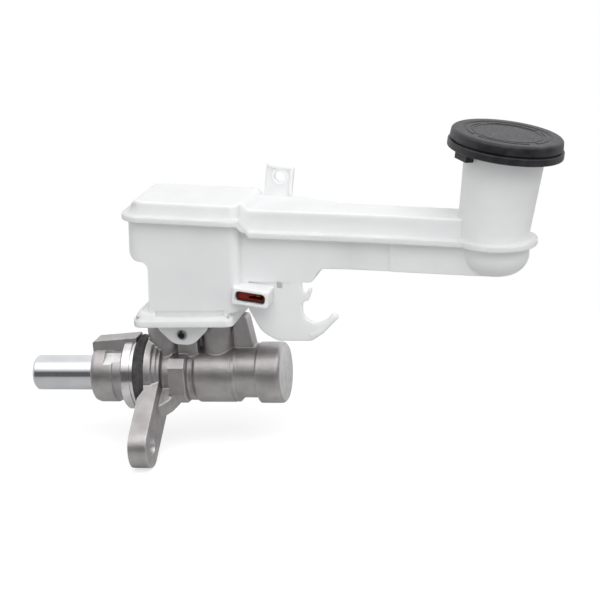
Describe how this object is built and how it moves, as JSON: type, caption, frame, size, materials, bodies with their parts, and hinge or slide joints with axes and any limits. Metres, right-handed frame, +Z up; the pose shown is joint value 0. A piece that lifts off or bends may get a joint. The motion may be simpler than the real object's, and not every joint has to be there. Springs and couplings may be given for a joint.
{
  "type": "tandem brake master cylinder",
  "caption": "Cast tandem brake master cylinder with a two-ear flange, pushrod piston, and a translucent fluid reservoir with a raised remote filler neck and screw cap.",
  "frame": {"origin": "on the axis of the cylinder bore, at the flat floor of the piston's socket, where the booster's pushrod bears", "axes": "+X along the bore towards the closed end; +Y horizontal, towards the side with the brake pipe outlets; +Z up"},
  "size_m": [0.2952, 0.1028, 0.1722],
  "materials": {
    "cast_aluminium": "sand cast, machined on the faces that seal or mate",
    "polished_steel": "ground and polished",
    "spring_steel": "plain",
    "black_rubber": "matt moulded rubber",
    "brass": "turned",
    "milky_plastic": "moulded, milky and translucent",
    "black_plastic": "moulded, satin",
    "red_rubber": "soft moulded rubber",
    "white_plastic": "moulded mesh",
    "float_plastic": "closed-cell moulding",
    "magnet": "sintered"
  },
  "bodies": {
    "body": {"cylinder_body": "cast_aluminium", "primary_secondary_seal": "black_rubber", "primary_pressure_seal": "black_rubber", "secondary_secondary_seal": "black_rubber", "secondary_pressure_seal": "black_rubber", "secondary_spring": "spring_steel", "secondary_spring_seat": "spring_steel", "piston_guide": "black_plastic", "piston_snap_ring": "spring_steel", "flange_seal": "black_rubber", "rear_inlet_grommet": "black_rubber", "front_inlet_grommet": "black_rubber", "rear_outlet_seat": "brass", "front_outlet_seat": "brass", "reservoir_pin": "spring_steel", "reservoir_lower_shell": "milky_plastic", "reservoir_upper_shell": "milky_plastic", "level_sensor_body": "black_plastic", "level_sensor_seal": "red_rubber", "sensor_terminal_a": "brass", "sensor_terminal_b": "brass", "filler_strainer": "white_plastic"},
    "primary_piston": {"primary_piston": "polished_steel", "retainer_screw": "spring_steel", "primary_spring": "spring_steel"},
    "secondary_piston": {"secondary_piston": "polished_steel", "spring_retainer": "spring_steel"},
    "level_float": {"level_float": "float_plastic", "float_magnet": "magnet"},
    "cap_gasket": {"cap_gasket": "black_rubber"},
    "filler_cap": {"filler_cap": "black_plastic"}
  },
  "joints": [
    {"name": "primary_piston_slide", "type": "slide", "parent": "body", "child": "primary_piston", "axis": [1, 0, 0], "range_m": [0, 0.021], "deforming": ["primary_spring"]},
    {"name": "secondary_piston_slide", "type": "slide", "parent": "body", "child": "secondary_piston", "axis": [1, 0, 0], "range_m": [0, 0.0105], "deforming": ["secondary_spring"]},
    {"name": "level_float_slide", "type": "slide", "parent": "body", "child": "level_float", "axis": [0.0698, 0, 0.9976], "range_m": [-0.0115, 0]},
    {"name": "cap_lift", "type": "slide", "parent": "body", "child": "cap_gasket", "axis": [0.1925, 0, 0.9813], "range_m": [0, 0.03]},
    {"name": "cap_turn", "type": "hinge", "parent": "cap_gasket", "child": "filler_cap", "pos_m": [0.22058, 0, 0.07188], "axis": [0.1925, 0, 0.9813], "range_deg": [0, 180]}
  ],
  "couplings": [
    {"joint": "secondary_piston_slide", "follows": "primary_piston_slide", "ratio": 0.5}
  ]
}
